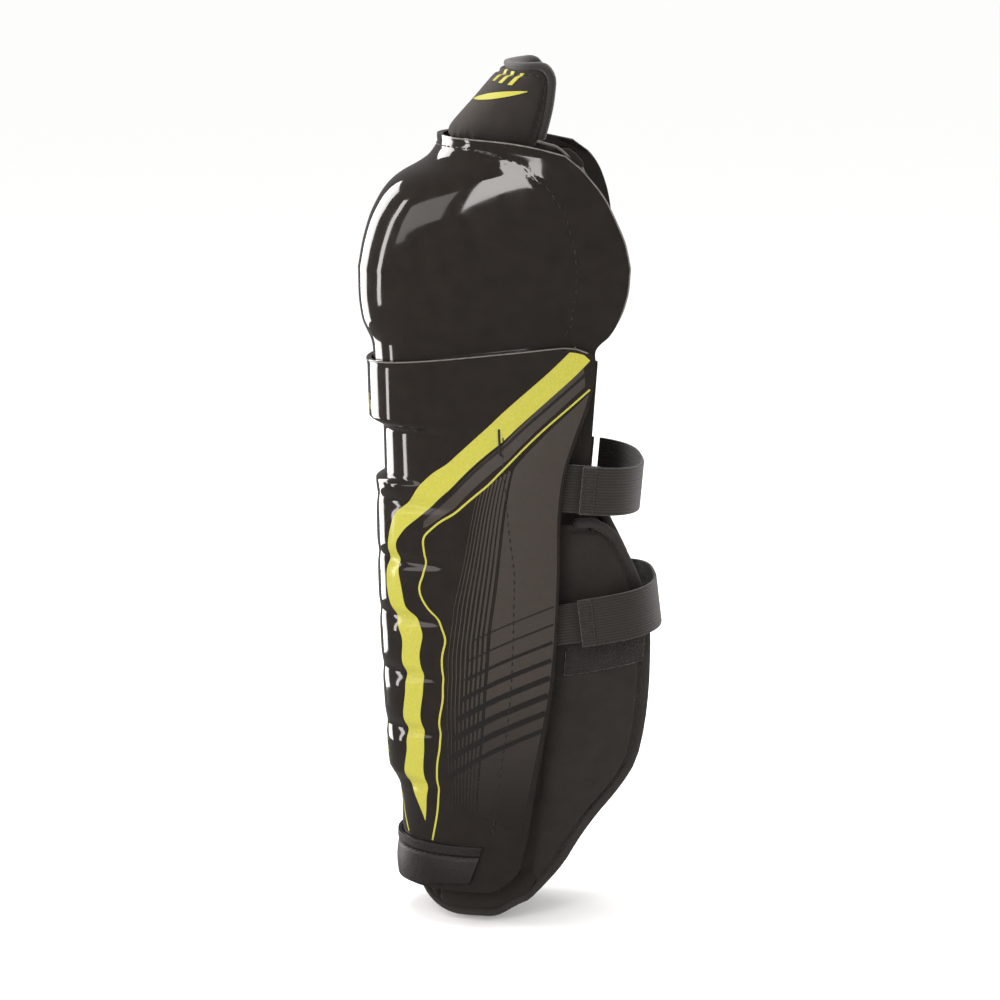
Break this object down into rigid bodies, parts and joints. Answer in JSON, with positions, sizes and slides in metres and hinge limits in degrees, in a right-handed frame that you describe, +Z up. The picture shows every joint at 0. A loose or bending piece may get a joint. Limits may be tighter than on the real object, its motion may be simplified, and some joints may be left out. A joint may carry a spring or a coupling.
{
  "type": "hockey shin guard",
  "caption": "Left-leg hockey shin guard: glossy knee and shin caps over foam and a fabric liner, with a padded thigh flap, calf wraps and elastic straps.",
  "frame": {"origin": "on the leg axis, level with the lowest point of the liner at the ankle end", "axes": "+Z up along the leg from ankle to knee, -Y out of the front of the shin, +X the outer side of the left leg"},
  "size_m": [0.1334, 0.1598, 0.4514],
  "materials": {
    "cap_plastic": "moulded, high gloss",
    "foam": "closed-cell foam, matt",
    "pad_fabric": "brushed knit over foam",
    "liner_fabric": "wicking knit over foam",
    "binding": "folded woven tape",
    "elastic": "ribbed knitted elastic",
    "hook_loop": "hook and loop tape",
    "synthetic_leather": "grained coated fabric",
    "thread": "polyester sewing thread"
  },
  "bodies": {
    "guard": {"knee_cap_shell": "cap_plastic", "shin_cap_shell": "cap_plastic", "knee_cap_foam": "foam", "shin_cap_foam": "foam", "knee_roll_pad": "liner_fabric", "lateral_knee_pad": "liner_fabric", "medial_knee_pad": "liner_fabric", "shin_liner": "liner_fabric", "liner_binding": "binding", "liner_hook_tabs": "hook_loop", "flap_hinge_tape": "binding", "upper_strap_lateral_tab": "elastic", "upper_strap_medial_tab": "elastic", "lower_strap_lateral_tab": "elastic", "lower_strap_medial_tab": "elastic", "ankle_guard_tab": "synthetic_leather", "knee_cap_stitching": "thread", "shin_cap_stitching": "thread", "ankle_tab_stitching": "thread"},
    "thigh_flap": {"thigh_flap_pad": "pad_fabric", "thigh_flap_binding": "binding"},
    "lateral_wrap": {"lateral_calf_wrap": "pad_fabric", "lateral_wrap_binding": "binding", "wrap_loop_patch": "hook_loop"},
    "medial_wrap": {"medial_calf_wrap": "pad_fabric", "medial_wrap_binding": "binding"},
    "upper_strap": {"upper_strap_band": "elastic", "upper_strap_hook": "hook_loop"},
    "lower_strap": {"lower_strap_band": "elastic", "lower_strap_hook": "hook_loop"}
  },
  "joints": [
    {"name": "thigh_flap_tilt", "type": "hinge", "parent": "guard", "child": "thigh_flap", "pos_m": [0, -0.0313, 0.415], "axis": [1, 0, 0], "range_deg": [-12, 35], "stiffness_Nm_per_rad": 0.3},
    {"name": "lateral_wrap_swing", "type": "hinge", "parent": "guard", "child": "lateral_wrap", "pos_m": [0.03081, 0.01772, 0.02], "axis": [0.0635, 0.0694, 0.9956], "range_deg": [0, 25], "stiffness_Nm_per_rad": 0.15},
    {"name": "medial_wrap_swing", "type": "hinge", "parent": "guard", "child": "medial_wrap", "pos_m": [-0.03081, 0.01772, 0.02], "axis": [0.0635, -0.0694, -0.9956], "range_deg": [0, 25], "stiffness_Nm_per_rad": 0.15},
    {"name": "upper_strap_swing", "type": "hinge", "parent": "guard", "child": "upper_strap", "pos_m": [-0.05002, 0.05152, 0.23312], "axis": [0, 0.0872, 0.9962], "range_deg": [0, 95]},
    {"name": "lower_strap_swing", "type": "hinge", "parent": "guard", "child": "lower_strap", "pos_m": [-0.0479, 0.05144, 0.16563], "axis": [0, -0.1219, 0.9925], "range_deg": [0, 95]}
  ]
}
